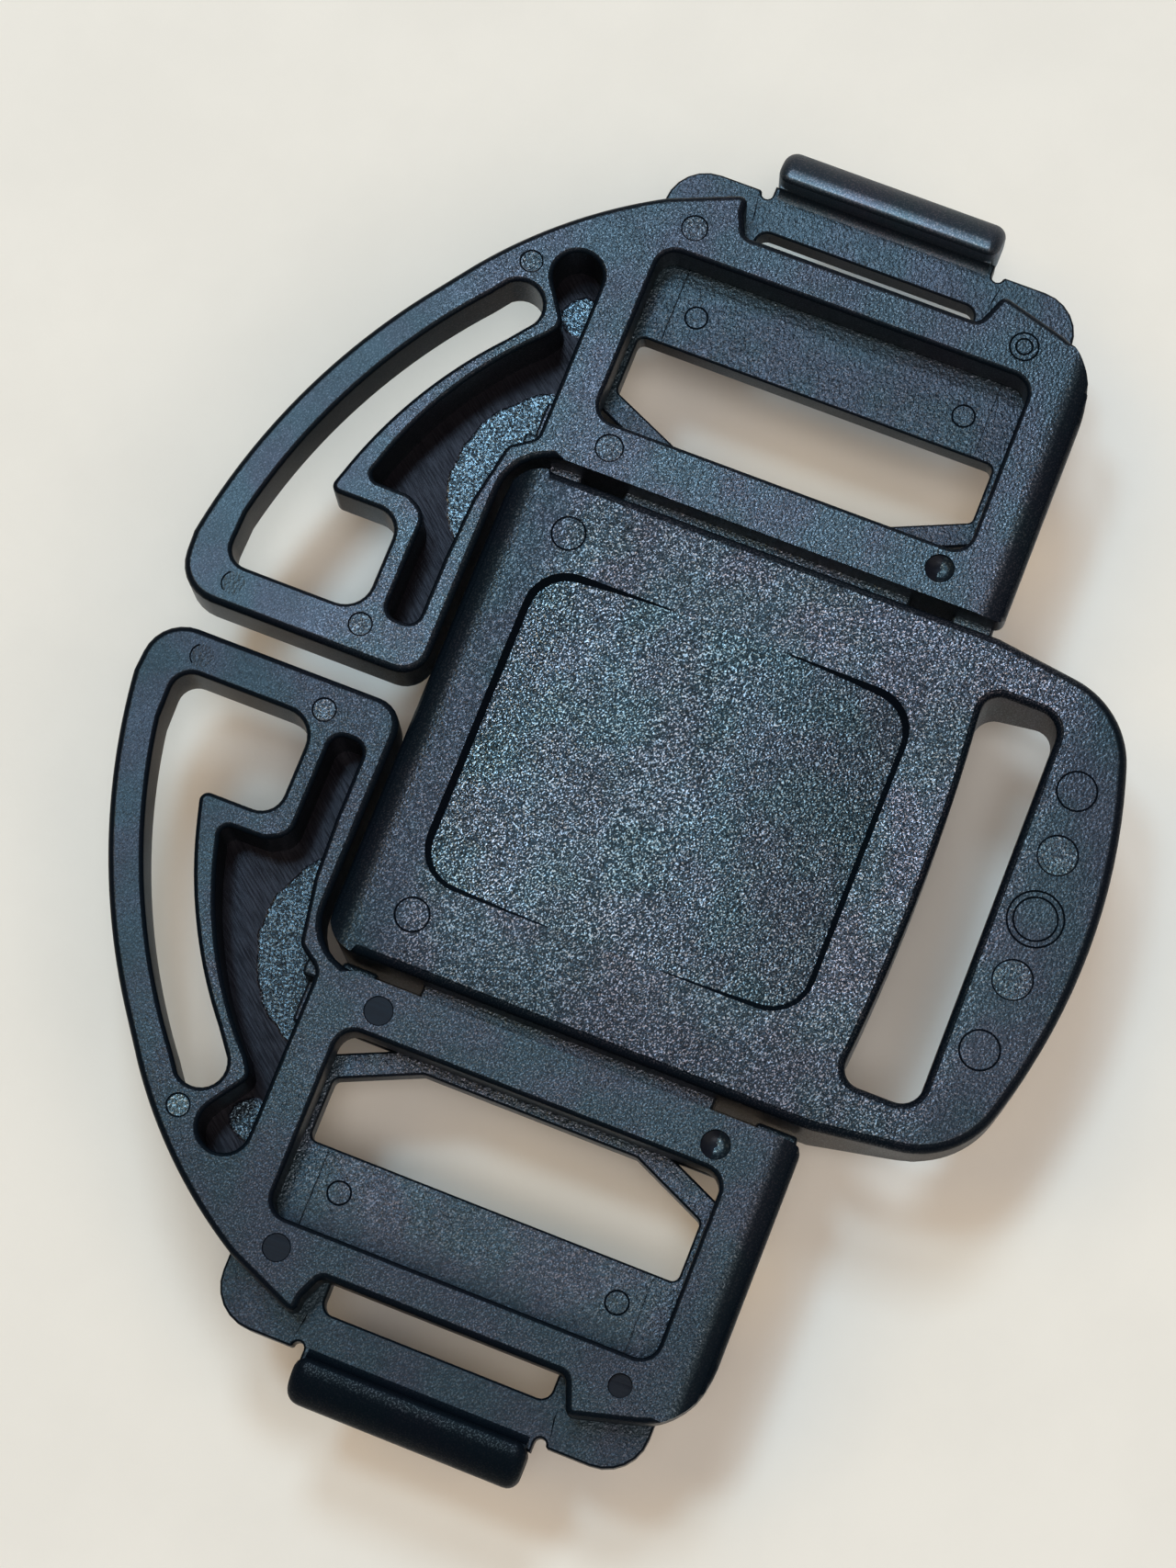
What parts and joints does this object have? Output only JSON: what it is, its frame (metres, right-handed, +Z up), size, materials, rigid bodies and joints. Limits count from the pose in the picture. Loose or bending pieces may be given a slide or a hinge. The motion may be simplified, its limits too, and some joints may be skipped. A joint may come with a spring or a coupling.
{
  "type": "five-point harness buckle",
  "caption": "Fastened five-point harness buckle with a push-button housing, a crotch strap bar and two slotted wings with hinged waist strap adjusters.",
  "frame": {"origin": "on the rest plane, under the middle of the bounding box", "axes": "+Z up through the back face, +X towards the right wing, +Y towards the shoulder strap edge"},
  "size_m": [0.0918, 0.0656, 0.016],
  "materials": {
    "housing": "fine spark-eroded grain",
    "wings": "fine spark-eroded grain",
    "levers": "fine grain, smooth on the lip",
    "button": "fine grain"
  },
  "bodies": {
    "buckle": {"housing_back": "housing", "housing_front": "housing", "release_button": "button", "wing_right": "wings", "wing_left": "wings"},
    "lever_right": {"adjuster_right": "levers"},
    "lever_left": {"adjuster_left": "levers"}
  },
  "joints": [
    {"name": "lever_right_hinge", "type": "hinge", "parent": "buckle", "child": "lever_right", "pos_m": [0.0213, -0.00262, 0.0115], "axis": [0, 1, 0], "range_deg": [0, 24]},
    {"name": "lever_left_hinge", "type": "hinge", "parent": "buckle", "child": "lever_left", "pos_m": [-0.0213, -0.00262, 0.0115], "axis": [0, -1, 0], "range_deg": [0, 24]}
  ]
}
